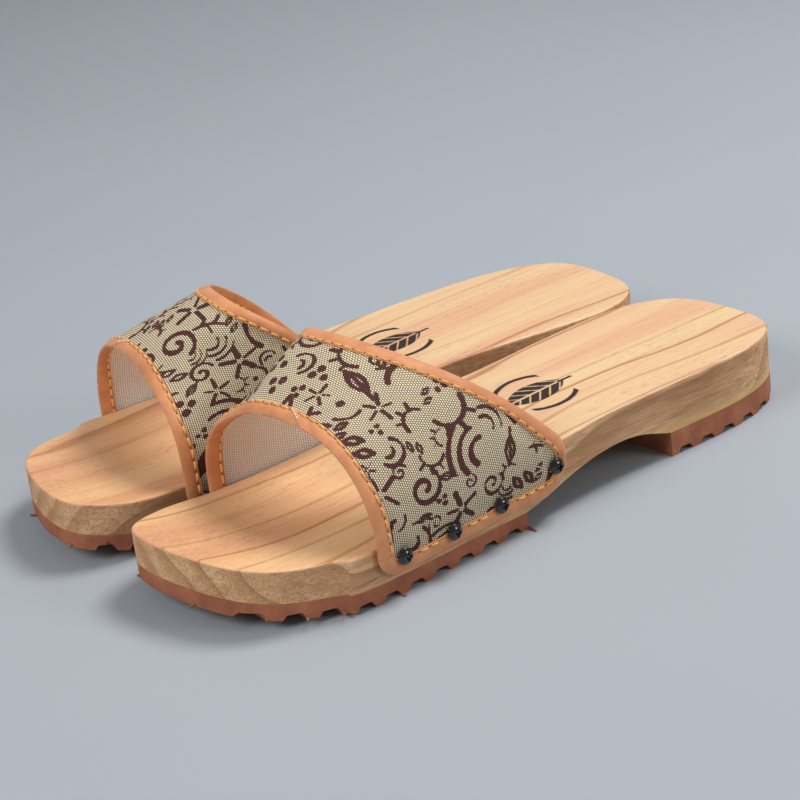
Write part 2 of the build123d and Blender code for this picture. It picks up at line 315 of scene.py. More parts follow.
class Shader:
    """A material and short ways to add its nodes."""

    def __init__(self, name, roughness=0.6, **values):
        self.material = bpy.data.materials.new(name)
        self.material.use_nodes = True
        self.tree = self.material.node_tree
        self.bsdf = self.tree.nodes["Principled BSDF"]
        self.bsdf.inputs["Roughness"].default_value = roughness
        for key, value in values.items():
            self.bsdf.inputs[key.replace("_", " ")].default_value = value

    def put(self, socket, value):
        if isinstance(value, bpy.types.NodeSocket):
            self.tree.links.new(value, socket)
        elif value is not None:
            socket.default_value = value

    def math(self, operation, a, b=None, c=None):
        node = self.tree.nodes.new("ShaderNodeMath")
        node.operation = operation
        for socket, value in zip(node.inputs, (a, b, c)):
            self.put(socket, value)
        return node.outputs[0]

    def times(self, a, b):
        return self.math("MULTIPLY", a, b)

    def plus(self, a, b):
        return self.math("ADD", a, b)

    def minus(self, a, b):
        return self.math("SUBTRACT", a, b)

    def attribute(self, name, output="Vector"):
        node = self.tree.nodes.new("ShaderNodeAttribute")
        node.attribute_name = name
        return node.outputs[output]

    def coordinates(self, turn=0.0, shift=(0, 0, 0), mirror=1):
        """Object coordinates in millimetres, turned so that y runs along the slipper."""
        source = self.tree.nodes.new("ShaderNodeTexCoord").outputs["Object"]
        node = self.tree.nodes.new("ShaderNodeMapping")
        node.inputs["Rotation"].default_value = (0, 0, turn)
        node.inputs["Scale"].default_value = (1000 * mirror, 1000, 1000)
        node.inputs["Location"].default_value = shift
        self.put(node.inputs["Vector"], source)
        return node.outputs[0]

    def scaled(self, vector, x, y, z, shift=(0, 0, 0)):
        node = self.tree.nodes.new("ShaderNodeMapping")
        node.inputs["Scale"].default_value = (x, y, z)
        node.inputs["Location"].default_value = shift
        self.put(node.inputs["Vector"], vector)
        return node.outputs[0]

    def noise(self, vector, scale=1.0, detail=3.0, rough=0.55, output="Fac"):
        node = self.tree.nodes.new("ShaderNodeTexNoise")
        node.inputs["Scale"].default_value = scale
        node.inputs["Detail"].default_value = detail
        node.inputs["Roughness"].default_value = rough
        self.put(node.inputs["Vector"], vector)
        return node.outputs[output]

    def parts(self, vector):
        node = self.tree.nodes.new("ShaderNodeSeparateXYZ")
        self.put(node.inputs[0], vector)
        return node.outputs

    def steps(self, value, low, high, start=0.0, end=1.0, smooth=True):
        node = self.tree.nodes.new("ShaderNodeMapRange")
        node.interpolation_type = "SMOOTHSTEP" if smooth else "LINEAR"
        for key, number in (("From Min", low), ("From Max", high), ("To Min", start), ("To Max", end)):
            node.inputs[key].default_value = number
        self.put(node.inputs["Value"], value)
        return node.outputs[0]

    def ramp(self, value, *stops):
        node = self.tree.nodes.new("ShaderNodeValToRGB")
        while len(node.color_ramp.elements) < len(stops):
            node.color_ramp.elements.new(0.5)
        for element, (place_at, colour) in zip(node.color_ramp.elements, stops):
            element.position = place_at
            element.color = colour
        self.put(node.inputs["Fac"], value)
        return node.outputs["Color"]

    def mix(self, factor, a, b, blend="MIX"):
        node = self.tree.nodes.new("ShaderNodeMix")
        node.data_type = "RGBA"
        node.blend_type = blend
        node.clamp_factor = True
        self.put(node.inputs[0], factor)
        self.put(node.inputs[6], a)
        self.put(node.inputs[7], b)
        return node.outputs[2]

    def bump(self, height, strength, distance, normal=None):
        node = self.tree.nodes.new("ShaderNodeBump")
        node.inputs["Strength"].default_value = strength
        node.inputs["Distance"].default_value = distance
        self.put(node.inputs["Height"], height)
        if normal is not None:
            self.put(node.inputs["Normal"], normal)
        return node.outputs[0]

    def set(self, **sockets):
        for key, value in sockets.items():
            self.put(self.bsdf.inputs[key.replace("_", " ")], value)
        return self.material


# ---- materials -----------------------------------------------------------------------------
def wood(side, leaf_x, leaf_y):
    """Pale softwood: growth rings that run lengthwise, fibres, pores, and coarser sawn sides."""
    m = Shader(f"{'left' if side > 0 else 'right'}_footbed_wood", roughness=0.5)
    seed = 0 if side > 0 else 431
    p = m.coordinates(turn=-side * SPLAY, mirror=side, shift=(0, 0, seed))
    x, y, z = m.parts(p)
    drift = m.noise(m.scaled(p, 0.018, 0.0042, 0.012), detail=2.0, rough=0.5)
    fine_drift = m.noise(m.scaled(p, 0.09, 0.010, 0.05, (7, 3, 1)), detail=2.0)
    ring = m.plus(m.times(x, 0.95), m.times(z, 0.75))
    ring = m.plus(ring, m.times(drift, 46.0))
    ring = m.plus(ring, m.times(fine_drift, 5.0))
    turns = m.math("DIVIDE", ring, 14.5)
    phase = m.math("FRACT", turns)
    number = m.math("FLOOR", turns)
    per_ring = m.tree.nodes.new("ShaderNodeTexWhiteNoise")
    per_ring.noise_dimensions = "1D"
    m.put(per_ring.inputs["W"], number)
    strong = m.steps(per_ring.outputs["Value"], 0.1, 0.95, 0.12, 1.0)
    late = m.steps(phase, 0.70, 0.96)
    snap = m.steps(phase, 0.95, 1.0, 1.0, 0.0)
    line = m.times(m.times(m.math("POWER", late, 2.6), snap), strong)
    fibre = m.noise(m.scaled(p, 2.2, 0.034, 2.2), detail=4.0, rough=0.62)
    streak = m.noise(m.scaled(p, 0.9, 0.012, 0.9, (3, 9, 2)), detail=4.0, rough=0.65)
    band = m.noise(m.scaled(p, 0.062, 0.005, 0.05, (1, 4, 8)), detail=1.5)
    pale = m.ramp(band, (0.32, linear(232, 202, 154)), (0.5, linear(230, 191, 148)),
                  (0.66, linear(226, 176, 140)))
    # towards the toe the top turns pinker and darker: partly the wood's own tone, partly painted shade for a
    # forefoot that gets less light
    toe_tone_and_shade = m.steps(y, -10, -110)
    toe_colour_and_shade = m.ramp(band, (0.32, linear(238, 190, 138)), (0.5, linear(230, 172, 124)),
                  (0.66, linear(218, 156, 114)))
    top = m.mix(m.times(toe_tone_and_shade, 0.85), pale, toe_colour_and_shade)
    top = m.mix(m.times(line, 0.92), top, linear(174, 104, 52))
    top = m.mix(m.steps(streak, 0.52, 0.70, 0.0, 0.34), top, linear(204, 142, 92))
    top = m.mix(m.steps(fibre, 0.50, 0.30, 0.0, 0.34), top, linear(248, 220, 172))
    top = m.mix(m.steps(fibre, 0.54, 0.72, 0.0, 0.42), top, linear(190, 124, 76))
    pore = m.noise(m.scaled(p, 2.4, 0.20, 2.4, (5, 5, 5)), detail=1.0)
    spots = m.noise(m.scaled(p, 0.028, 0.008, 0.02, (9, 2, 4)), detail=1.0)
    dashes = m.times(m.steps(pore, 0.66, 0.72), m.steps(spots, 0.40, 0.56))
    top = m.mix(m.times(dashes, 0.7), top, linear(140, 84, 48))
    grain = m.noise(m.scaled(p, 1.5, 0.05, 1.5, (2, 2, 7)), detail=5.0, rough=0.68)
    figure = m.noise(m.scaled(p, 0.11, 0.03, 0.13, (4, 1, 3)), detail=3.0, rough=0.6)
    sawn = m.ramp(grain, (0.30, linear(150, 100, 62)), (0.44, linear(212, 164, 118)),
                  (0.66, linear(240, 202, 158)))
    sawn = m.mix(m.steps(figure, 0.36, 0.70, 0.0, 0.5), sawn, linear(168, 114, 70))
    late_band = m.times(m.steps(phase, 0.25, 0.85), snap)
    sawn = m.mix(m.times(late_band, 0.42), sawn, linear(158, 104, 62))
    sawn = m.mix(m.times(line, 0.35), sawn, linear(122, 84, 48))
    low = m.steps(z, 14.5 + seed, 11.0 + seed)
    sawn = m.mix(m.times(low, m.times(m.steps(y, 20, 45), 0.6)), sawn, linear(226, 190, 120))
    facing = m.parts(m.tree.nodes.new("ShaderNodeNewGeometry").outputs["Normal"])[2]
    edge_noise = m.times(m.minus(grain, 0.5), 0.5)
    sides = m.steps(m.plus(m.math("ABSOLUTE", facing), edge_noise), 0.72, 0.40)
    under = m.steps(facing, -0.2, -0.5)
    colour = m.mix(m.math("MAXIMUM", sides, under), top, sawn)
    # a burned leaf on the heel side of the strap
    burn = burned_leaf(m, m.minus(x, leaf_x), m.minus(y, leaf_y), fibre)
    colour = m.mix(m.times(burn, m.steps(facing, 0.6, 0.9)), colour, linear(44, 25, 18))
    rough = m.steps(fibre, 0.3, 0.7, 0.42, 0.56)
    rough = m.plus(rough, m.times(m.math("MAXIMUM", sides, burn), 0.3))
    low_bump = m.bump(fibre, 0.25, 0.00025)
    height = m.times(grain, sides)
    height = m.minus(height, m.times(burn, 0.8))
    normal = m.bump(height, 0.55, 0.0005, low_bump)
    return m.set(Base_Color=colour, Roughness=rough, Normal=normal)


def burned_leaf(m, x, y, unevenness):
    """A leaf with a stem and veins, drawn by distances, as from a hot stamp."""
    x = m.times(x, 0.87)
    y = m.times(y, 0.87)

    def away(cx, cy):
        return m.math("SQRT", m.plus(m.math("POWER", m.minus(x, cx), 2.0),
                                     m.math("POWER", m.minus(y, cy), 2.0)))
    blade = m.math("MAXIMUM", m.minus(away(8.0, 0.0), 14.6), m.minus(away(-8.0, 0.0), 14.6))
    off_middle = m.math("ABSOLUTE", x)
    rib = m.minus(0.5, off_middle)
    slant = m.math("DIVIDE", m.plus(y, m.times(off_middle, 0.9)), 4.4)
    vein = m.times(m.minus(0.09, m.math("ABSOLUTE", m.minus(m.math(
        "FRACT", slant), 0.5))), 3.2)
    filled = m.math("MAXIMUM", m.math("MAXIMUM", blade, rib), vein)
    stem = m.math("MAXIMUM", m.minus(off_middle, 0.55),
                  m.minus(m.math("ABSOLUTE", m.minus(y, 13.0)), 3.0))
    curl = m.minus(m.math("ABSOLUTE", m.minus(away(0.0, 0.0), 13.6)), 0.9)
    curl = m.math("MAXIMUM", curl, m.minus(m.math("ABSOLUTE", y), 9.5))
    nearest = m.math("MINIMUM", m.math("MINIMUM", filled, stem), curl)
    worn = m.times(m.minus(unevenness, 0.5), 0.9)
    return m.steps(m.plus(nearest, worn), 0.28, -0.22)


def rubber():
    """Matte reddish-brown rubber with fine grit and pale dust."""
    m = Shader("sole_rubber", roughness=0.82)
    p = m.coordinates()
    cloud = m.noise(p, 0.09, 4.0, 0.6)
    grit = m.noise(p, 1.7, 4.0, 0.75)
    colour = m.ramp(cloud, (0.3, linear(150, 86, 58)), (0.55, linear(174, 106, 74)),
                    (0.75, linear(190, 124, 90)))
    colour = m.mix(m.steps(grit, 0.40, 0.28, 0.0, 0.45), colour, linear(96, 54, 40))
    colour = m.mix(m.steps(grit, 0.68, 0.80, 0.0, 0.5), colour, linear(214, 168, 140))
    return m.set(Base_Color=colour, Roughness=m.steps(cloud, 0.3, 0.7, 0.74, 0.88),
                 Normal=m.bump(grit, 0.6, 0.0005))


def weave_cells(m, u, v, wide, tall):
    """A brick layout of small round thread crossings: 1 on top of a thread, 0 in the gaps."""
    row = m.math("FLOOR", m.math("DIVIDE", v, tall))
    shift = m.times(m.math("MODULO", m.math("ABSOLUTE", row), 2.0), 0.5)
    cx = m.minus(m.math("FRACT", m.plus(m.math("DIVIDE", u, wide), shift)), 0.5)
    cy = m.minus(m.math("FRACT", m.math("DIVIDE", v, tall)), 0.5)
    reach = m.math("SQRT", m.plus(m.math("POWER", m.times(cx, 1.0), 2.0),
                                  m.math("POWER", m.times(cy, 1.08), 2.0)))
    return m.steps(reach, 0.54, 0.24)


def jacquard():
    """Khaki woven cloth with a darker woven pattern of brush strokes."""
    m = Shader("strap_fabric", roughness=0.85, Specular_IOR_Level=0.2)
    u, v, _ = m.parts(m.attribute("cloth"))
    dots = weave_cells(m, u, v, 1.06, 0.86)
    p = m.attribute("cloth")
    cloud = m.noise(p, 0.05, 3.0, 0.6)
    thread = m.noise(m.scaled(p, 1.4, 1.9, 1.0), 1.0, 2.0, 0.6)
    # dark gaps between the thread crossings, here and in the figure below: partly the yarn's colour, partly
    # painted shade in the gaps
    ground = m.mix(dots, linear(64, 48, 30), linear(255, 238, 204))
    ground = m.mix(m.steps(thread, 0.35, 0.65, 0.0, 0.15), ground, linear(176, 164, 126))
    ground = m.mix(m.steps(cloud, 0.4, 0.62, 0.0, 0.12), ground, linear(206, 192, 150))
    figure = m.mix(dots, linear(40, 18, 16), linear(112, 66, 60))
    figure = m.mix(m.steps(thread, 0.4, 0.7, 0.0, 0.25), figure, linear(74, 40, 38))
    edge = m.plus(m.attribute("motif", "Fac"), m.times(m.minus(dots, 0.5), 0.30))
    edge = m.plus(edge, m.times(m.minus(thread, 0.5), 0.35))
    inked = m.steps(edge, 0.10, -0.10)
    colour = m.mix(inked, ground, figure)
    height = m.plus(dots, m.times(inked, 0.25))
    return m.set(Base_Color=colour, Roughness=m.steps(thread, 0.3, 0.7, 0.68, 0.86),
                 Normal=m.bump(height, 0.5, 0.00022))


def tape_cloth(name="edge_tape", pale=(222, 149, 98), deep=(199, 123, 77)):
    """Ribbed binding tape with a soft sheen."""
    m = Shader(name, roughness=0.6, Sheen_Weight=0.25, Sheen_Roughness=0.4)
    u, v, _ = m.parts(m.attribute("cloth"))
    slanted = m.plus(u, m.times(v, 0.42))
    rib = m.math("SINE", m.times(slanted, 2 * math.pi / 0.86))
    rib = m.steps(rib, -1.0, 1.0)
    cloud = m.noise(m.attribute("cloth"), 0.09, 3.0, 0.6)
    colour = m.mix(m.steps(cloud, 0.3, 0.7), linear(*pale), linear(*deep))
    # lighter rib crests: a painted highlight along each rib
    colour = m.mix(m.times(rib, 0.22), colour, linear(240, 178, 130))
    rubbed = m.noise(m.scaled(m.attribute("cloth"), 0.5, 1.6, 1.0), 1.0, 3.0)
    colour = m.mix(m.steps(rubbed, 0.6, 0.8, 0.0, 0.3), colour, linear(190, 118, 76))
    return m.set(Base_Color=colour, Roughness=m.steps(cloud, 0.3, 0.7, 0.5, 0.66),
                 Normal=m.bump(rib, 0.35, 0.00016))


def spacer_mesh():
    """Pale spacer mesh with small round holes."""
    m = Shader("strap_lining", roughness=0.7, Sheen_Weight=0.2)
    u, v, _ = m.parts(m.attribute("cloth"))
    solid = weave_cells(m, u, v, 1.3, 1.0)
    hole = m.minus(1.0, solid)
    fuzz = m.noise(m.attribute("cloth"), 1.8, 3.0, 0.7)
    cloud = m.noise(m.attribute("cloth"), 0.04, 2.0)
    thread = m.mix(m.steps(fuzz, 0.35, 0.7), linear(255, 252, 250), linear(240, 236, 232))
    # darker colour in the mesh holes: painted shade inside the holes
    colour = m.mix(m.steps(solid, 0.9, 0.1, 0.0, 0.7), thread, linear(180, 160, 146))
    colour = m.mix(m.steps(cloud, 0.4, 0.65, 0.0, 0.2), colour, linear(226, 220, 216))
    return m.set(Base_Color=colour, Roughness=m.steps(fuzz, 0.3, 0.7, 0.62, 0.8),
                 Normal=m.bump(solid, 0.6, 0.0003))


def foam_cloth():
    """Open foam between the two cloths."""
    m = Shader("strap_padding", roughness=0.9)
    p = m.coordinates()
    cells = m.noise(p, 1.1, 3.0, 0.7)
    return m.set(Base_Color=m.ramp(cells, (0.35, linear(214, 200, 168)), (0.65, linear(240, 230, 204))),
                 Normal=m.bump(cells, 0.5, 0.0004))


def thread_cord(name, pale, deep):
    """Twisted sewing thread."""
    m = Shader(name, roughness=0.45, Sheen_Weight=0.2)
    p = m.coordinates()
    twist = m.noise(p, 2.6, 2.0, 0.6)
    return m.set(Base_Color=m.mix(m.steps(twist, 0.35, 0.68), linear(*deep), linear(*pale)),
                 Roughness=m.steps(twist, 0.3, 0.7, 0.38, 0.55), Normal=m.bump(twist, 0.5, 0.0002))


def black_steel():
    """Glossy black lacquered steel, a little dusty."""
    m = Shader("screw_steel", roughness=0.2, Coat_Weight=0.6, Coat_Roughness=0.08)
    p = m.coordinates()
    dust = m.noise(p, 0.9, 4.0, 0.7)
    return m.set(Base_Color=m.ramp(dust, (0.4, linear(9, 9, 10)), (0.75, linear(30, 29, 29))),
                 Roughness=m.steps(dust, 0.4, 0.75, 0.12, 0.28), Normal=m.bump(dust, 0.15, 0.0002))


# ---- the woven pattern: brush strokes that spell nothing -----------------------------------
def stroke_shapes():
    """Small signs of one unit's size, each a list of polylines."""
    def arc(cx, cy, r, a0, a1, squeeze=1.0, count=14):
        a = np.radians(np.linspace(a0, a1, count))
        return np.stack((cx + r * np.cos(a), cy + squeeze * r * np.sin(a)), -1)

    t = np.linspace(0, 1, 22)
    spiral = np.stack(((0.09 + 0.40 * t) * np.cos(8.0 * t), (0.09 + 0.40 * t) * np.sin(8.0 * t)), -1)
    berries = [arc(0.22, 0.12, 0.09, 0, 360, 1, 8), arc(-0.2, 0.2, 0.08, 0, 360, 1, 8),
               arc(0, -0.22, 0.1, 0, 360, 1, 8)]
    stem = np.stack((0.14 * np.sin(t * 2.4) - 0.05, t - 0.5), -1)
    leaf = t[:8] / t[7]
    sprig = [stem] + [np.stack((stem[k, 0] + turn * 0.34 * leaf, stem[k, 1] + 0.24 * np.sqrt(leaf)), -1)
                      for k, turn in ((3, 1), (8, -1), (13, 1))]
    burst = [np.stack((np.linspace(0.14, r, 4) * math.cos(a), np.linspace(0.14, r, 4) * math.sin(a)), -1)
             for a, r in ((0.2, 0.5), (1.4, 0.44), (2.7, 0.5), (3.9, 0.42), (5.1, 0.48))]
    leaf_sign = [np.stack((bulge * np.sin(t * math.pi), t - 0.5), -1) for bulge in (0.2, -0.2)]
    leaf_sign.append(np.stack((0.02 * np.sin(t * 5), t * 1.05 - 0.78), -1))
    ripples = [arc(0, -0.35, 0.32, 20, 160), arc(0, -0.35, 0.62, 35, 145), arc(0, -0.35, 0.90, 55, 125)]
    crescent = [arc(0, 0, 0.46, -110, 95), arc(-0.10, 0.02, 0.20, -70, 75)]
    lash = [arc(0, -0.2, 0.5, 10, 170)] + [np.stack((np.linspace(0.5, 0.78, 3) * math.cos(a), np.linspace(
        0.5, 0.78, 3) * math.sin(a) - 0.2), -1) for a in (0.9, 1.57, 2.24)]
    comet = [arc(-0.1, -0.25, 0.62, 15, 100), arc(-0.1, -0.28, 0.07, 0, 360, 1, 7)]
    pair = [line * 0.6 + shift for line in leaf_sign[:2] for shift in ((-0.2, 0.16), (0.24, -0.16))]
    return [[spiral], berries, sprig, burst, leaf_sign, ripples, crescent, lash, comet, pair]


def motif_distance(u, v, seed, wide, tall):
    """Distance in millimetres from each cloth point to the nearest woven stroke, negative inside it."""
    rng = random.Random(seed)
    shapes = stroke_shapes()
    placed = []
    nearest = np.full(u.shape, 9.0)
    sizes = [rng.uniform(14.5, 18) for _ in range(24)] + [rng.uniform(10, 12.5) for _ in range(80)] + [
        rng.uniform(6.5, 8.5) for _ in range(160)]
    for size in sizes:
        for _ in range(70):
            spot = (rng.uniform(0, wide), rng.uniform(-4, tall))
            if all(math.hypot(spot[0] - a, spot[1] - b) > 0.455 * (size + other) for a, b, other in placed):
                break
        else:
            continue
        placed.append((*spot, size))
        shape = shapes[rng.randrange(len(shapes))]
        turn, flip = rng.uniform(0, 2 * math.pi), rng.choice((-1, 1))
        pen = rng.uniform(0.85, 1.1) * (0.20 + 0.064 * size)
        near = np.nonzero((np.abs(u - spot[0]) < size * 0.95) & (np.abs(v - spot[1]) < size * 0.95))[0]
        if not len(near):
            continue
        pu, pv = u[near], v[near]
        best = np.full(pu.shape, 9.0)
        c, s = math.cos(turn) * size, math.sin(turn) * size
        for line in shape:
            q = np.stack((spot[0] + c * line[:, 0] * flip - s * line[:, 1],
                          spot[1] + s * line[:, 0] * flip + c * line[:, 1]), -1)
            for a, b in zip(q[:-1], q[1:]):
                way = b - a
                length = max(1e-6, float(way @ way))
                share = np.clip(((pu - a[0]) * way[0] + (pv - a[1]) * way[1]) / length, 0, 1)
                slant = abs(math.sin(math.atan2(way[1], way[0]) - turn - 0.6))
                width = pen * (0.58 + 0.5 * slant)
                gap = np.hypot(pu - a[0] - share * way[0], pv - a[1] - share * way[1]) - width
                best = np.minimum(best, gap)
        nearest[near] = np.minimum(nearest[near], best)
    return nearest


# ---- the strap -----------------------------------------------------------------------------
def strap_grid(inset, grow, columns, rows):
    """Stations, places and points of a sheet that fills the strap's outline."""
    edge = inset + 0.02
    first = edge + (12 * (np.arange(columns // 12) / (columns // 12)) ** 1.8)
    middle = np.linspace(edge + 12, ALL_ROUND - edge - 12, columns - 2 * (columns // 12))
    station = np.r_[first, middle, (ALL_ROUND - first)[::-1]]
    toe = meet(station, grow, front_outline(inset))
    heel = meet(station, grow, back_outline(inset))
    share = np.linspace(0, 1, rows)
    back = toe[:, None] + (heel - toe)[:, None] * share[None]
    station = np.repeat(station[:, None], rows, 1)
    return station, back, surface(station, back, grow)


def cloth_places(station, points):
    """How the flat cloth's own coordinates lie on the strap, in millimetres."""
    run = np.concatenate((np.zeros((len(points), 1)), np.cumsum(np.linalg.norm(
        np.diff(points, axis=1), axis=2), axis=1)), axis=1)
    wide = station * (FRONT_RUN + BACK_RUN) / (2 * FRONT_RUN)
    return wide, run


def make_fabric(name, side):
    """The woven cloth, swollen by the foam and pressed in by the tape and the screws."""
    station, back, base = strap_grid(1.7, 3.0, 300, 134)
    deep = inset_of(base)
    u, v = cloth_places(station, base)
    grow = 2.72 + 0.66 * ease((deep - 4.8) / 8) + 0.2 * waves(u, v, 5 + side) * ease((deep - 7) / 8)
    grow -= 0.55 * screw_press(base)
    points = surface(station, back, grow)
    rows, columns = station.shape
    motif = motif_distance(u.ravel(), v.ravel(), 20 + side, float(u.max()), float(v.max()))
    cloth = np.stack((u.ravel(), v.ravel(), 0 * u.ravel()), -1)
    return build(name, points.reshape(-1, 3), grid_faces(rows, columns), side,
                 {"cloth": cloth, "motif": motif})


def make_lining(name, side):
    """The mesh lining, which sags a little between its edges over the foot."""
    station, back, base = strap_grid(1.7, 0.8, 150, 70)
    u, v = cloth_places(station, base)
    above = ease((base[..., 2] - 32) / 8)
    grow = 0.85 - 0.35 * above * (1 + waves(u, v, 9 + side)) * ease((inset_of(base) - 5.5) / 8)
    points = surface(station, back, grow)
    cloth = np.stack((u.ravel(), v.ravel(), 0 * u.ravel()), -1)
    return build(name, points.reshape(-1, 3), grid_faces(*station.shape)[:, ::-1], side, {"cloth": cloth})


def make_foam(name, side):
    """The foam as a closed pad between the cloth and the lining."""
    station, back, base = strap_grid(2.0, 1.2, 84, 40)
    deep = inset_of(base)
    outer = surface(station, back, 2.1 + 0.3 * ease((deep - 5) / 8) - 0.4 * screw_press(base))
    inner = surface(station, back, 1.15 + 0 * deep)
    rows, columns = station.shape
    points = np.concatenate((outer.reshape(-1, 3), inner.reshape(-1, 3)))
    count = rows * columns
    index = np.arange(count).reshape(rows, columns)
    rim = np.concatenate((index[0, :-1], index[:-1, -1], index[-1, :0:-1], index[:0:-1, 0]))
    after = np.roll(rim, -1)
    walls = np.stack((rim, after, after + count, rim + count), -1)
    under = grid_faces(rows, columns, start=count)
    faces = np.concatenate((grid_faces(rows, columns)[:, ::-1], under, walls))
    return build(name, points, faces, side)


def station_at(height, outline, grow, outer=True):
    """The station at which one edge of the strap reaches a height on a side wall."""
    low, high = 0.0, 20.0
    for _ in range(40):
        middle = (low + high) / 2
        station = np.array([middle if outer else ALL_ROUND - middle])
        p = surface(station, meet(station, grow, outline), grow)
        low, high = (middle, high) if p[0, 2] < height else (low, middle)
    return low if outer else ALL_ROUND - low


def edge_line(inset, grow, step=1.0):
    """A loop round the strap for one line of the tape, which lies narrower and flatter over the foot."""
    wide = edge_loop(inset * SIDE_SPREAD, grow, step)
    narrow = edge_loop(inset * CREST_SPREAD, crest_grow(grow), step)
    share = ease((wide[:, 2:3] - 34) / 14)
    return wide * (1 - share) + narrow * share


def crest_grow(grow):
    """The tape's outer face lies a little lower over the foot."""
    return grow - (0.22 if grow > 2 else 0.0)


def edge_loop(inset, grow, step):
    """Points round the strap at one inset and one height, as a closed loop that starts at the front."""
    front, back = front_outline(inset), back_outline(inset)
    front_z = base_height(STRAP_FRONT) + FRONT_CORNER
    back_z = base_height(STRAP_BACK) + BACK_CORNER
    parts = []
    a, b = EDGE_STATIONS["front"]
    station = np.linspace(a, b, int((b - a) / step) + 1)[:-1]
    parts.append(surface(station, meet(station, grow, front), grow))
    turn = np.linspace(0, 1, 13)[:-1]
    front_centre = (STRAP_FRONT - FRONT_CORNER, front_z)
    back_centre = (STRAP_BACK + BACK_CORNER, back_z)

    def corner(wall, centre, radius, start, end):
        q = arc_points(centre, radius, start, end, 13)[:-1]
        parts.append(on_wall(wall, q[:, 0], q[:, 1], grow))

    def bottom(wall, s0, s1, z0, z1):
        share = np.linspace(0, 1, 62)[:-1]
        parts.append(on_wall(wall, s0 + (s1 - s0) * share, z0 + (z1 - z0) * share, grow))

    low_front, low_back = front_z - FRONT_CORNER + inset, back_z - BACK_CORNER + inset
    corner(INNER_WALL, front_centre, FRONT_CORNER - inset, 0, -90)
    bottom(INNER_WALL, front_centre[0], back_centre[0], low_front, low_back)
    corner(INNER_WALL, back_centre, BACK_CORNER - inset, 270, 180)
    a, b = EDGE_STATIONS["back"]
    station = np.linspace(b, a, int((b - a) / step) + 1)[:-1]
    parts.append(surface(station, meet(station, grow, back), grow))
    corner(OUTER_WALL, back_centre, BACK_CORNER - inset, 180, 270)
    bottom(OUTER_WALL, back_centre[0], front_centre[0], low_back, low_front)
    corner(OUTER_WALL, front_centre, FRONT_CORNER - inset, -90, 0)
    return np.concatenate(parts)


EDGE_STATIONS = {
    "front": (station_at(base_height(STRAP_FRONT) + FRONT_CORNER, front_outline(0), 1.8),
              station_at(base_height(STRAP_FRONT) + FRONT_CORNER, front_outline(0), 1.8, outer=False)),
    "back": (station_at(base_height(STRAP_BACK) + BACK_CORNER, back_outline(0), 1.8),
             station_at(base_height(STRAP_BACK) + BACK_CORNER, back_outline(0), 1.8, outer=False)),
}

# the tape's cross section, as (distance in from the fold, height above the wood)
TAPE_SECTION = (
    (5.62, 2.98), (5.58, 3.24), (5.3, 3.34), (4.95, 3.24), (4.6, 3.1), (4.2, 3.22), (3.5, 3.32), (2.7, 3.28),
    (1.9, 3.12), (1.2, 2.86), (0.6, 2.52), (0.2, 2.2), (0.0, 1.88), (0.1, 1.52), (0.4, 1.22), (0.95, 0.92),
    (1.8, 0.6), (3.0, 0.3), (4.0, 0.16), (4.6, 0.2), (5.1, 0.08), (5.5, 0.1), (5.6, 0.34), (5.45, 0.56),
    (4.5, 0.6), (3.0, 0.7), (1.8, 0.98), (1.2, 1.32), (1.0, 1.75), (1.2, 2.15), (1.8, 2.55), (3.0, 2.85),
    (4.6, 2.7))


def make_tape(name, side):
    """The folded tape as one closed loop of its section, with its run round the strap."""
    loops, facts = [], []
    for number, (inset, grow) in enumerate(TAPE_SECTION):
        line = edge_line(inset, grow)
        if grow > 2.6:
            press = screw_press(line)
            if press.max() > 0:
                lower = edge_line(inset, grow - 0.5)
                line = line * (1 - press[:, None]) + lower * press[:, None]
        loops.append(line)
    loops = np.array(loops)
    main = loops[7]
    run = np.r_[0, np.cumsum(np.linalg.norm(np.diff(main, axis=0), axis=1))]
    across = np.r_[0, np.cumsum([math.dist(a, b) for a, b in zip(TAPE_SECTION, TAPE_SECTION[1:])])]
    for number in range(len(loops)):
        facts.append(np.stack((run, np.full(len(run), across[number]), 0 * run), -1))
    rows, columns = loops.shape[:2]
    faces = grid_faces(rows, columns, wrap_rows=True, wrap_columns=True)
    piece = build(name, loops.reshape(-1, 3), faces, side, {"cloth": np.concatenate(facts)})
    return piece, float(run[-1] + np.linalg.norm(main[0] - main[-1]))


def sewn(name, side, inset, grow, outside, skip_screws):
    """A row of separate stitches round the strap, with short dark tubes of painted shade in the needle holes
    between them.
    """
    line = edge_line(inset, grow, step=0.7)
    line = np.concatenate((line, line[:1]))
    lifted = edge_line(inset, grow + (0.4 if outside else -0.4), step=0.7)
    lifted = np.concatenate((lifted, lifted[:1]))
    run = np.r_[0, np.cumsum(np.linalg.norm(np.diff(line, axis=0), axis=1))]
    count = int(run[-1] / STITCH_PITCH)
    pitch = run[-1] / count
    rng = random.Random(3 + side)
    paths, holes = [], []
    for k in range(count):
        start = k * pitch + rng.uniform(-0.12, 0.12)
        reach = np.linspace(start, start + pitch * 0.80, 6)
        path = np.stack([np.interp(reach, run, line[:, i]) for i in range(3)], -1)
        top = np.stack([np.interp(reach, run, lifted[:, i]) for i in range(3)], -1)
        outward = (top - path).mean(0)
        outward /= np.linalg.norm(outward)
        if skip_screws and screw_press(path).max() > 0.72:
            continue
        height = np.array((-0.36, 0.10, 0.27, 0.27, 0.10, -0.36))
        paths.append((path + height[:, None] * outward, outward))
        # a short dark tube in the gap after each stitch: painted shade in the needle hole
        gap = np.linspace(start + pitch * 0.80, start + pitch * 0.99, 4)
        hole = np.stack([np.interp(gap, run, line[:, i]) for i in range(3)], -1)
        holes.append((hole + 0.02 * outward, outward))
    points, faces = tubes(paths, 0.46)
    hole_points, hole_faces = tubes(holes, 0.24, sides=6)
    stitches = build_mixed(name, points, faces, side)
    return stitches, build_mixed(name + "_needle_hole_shade", hole_points, hole_faces, side)


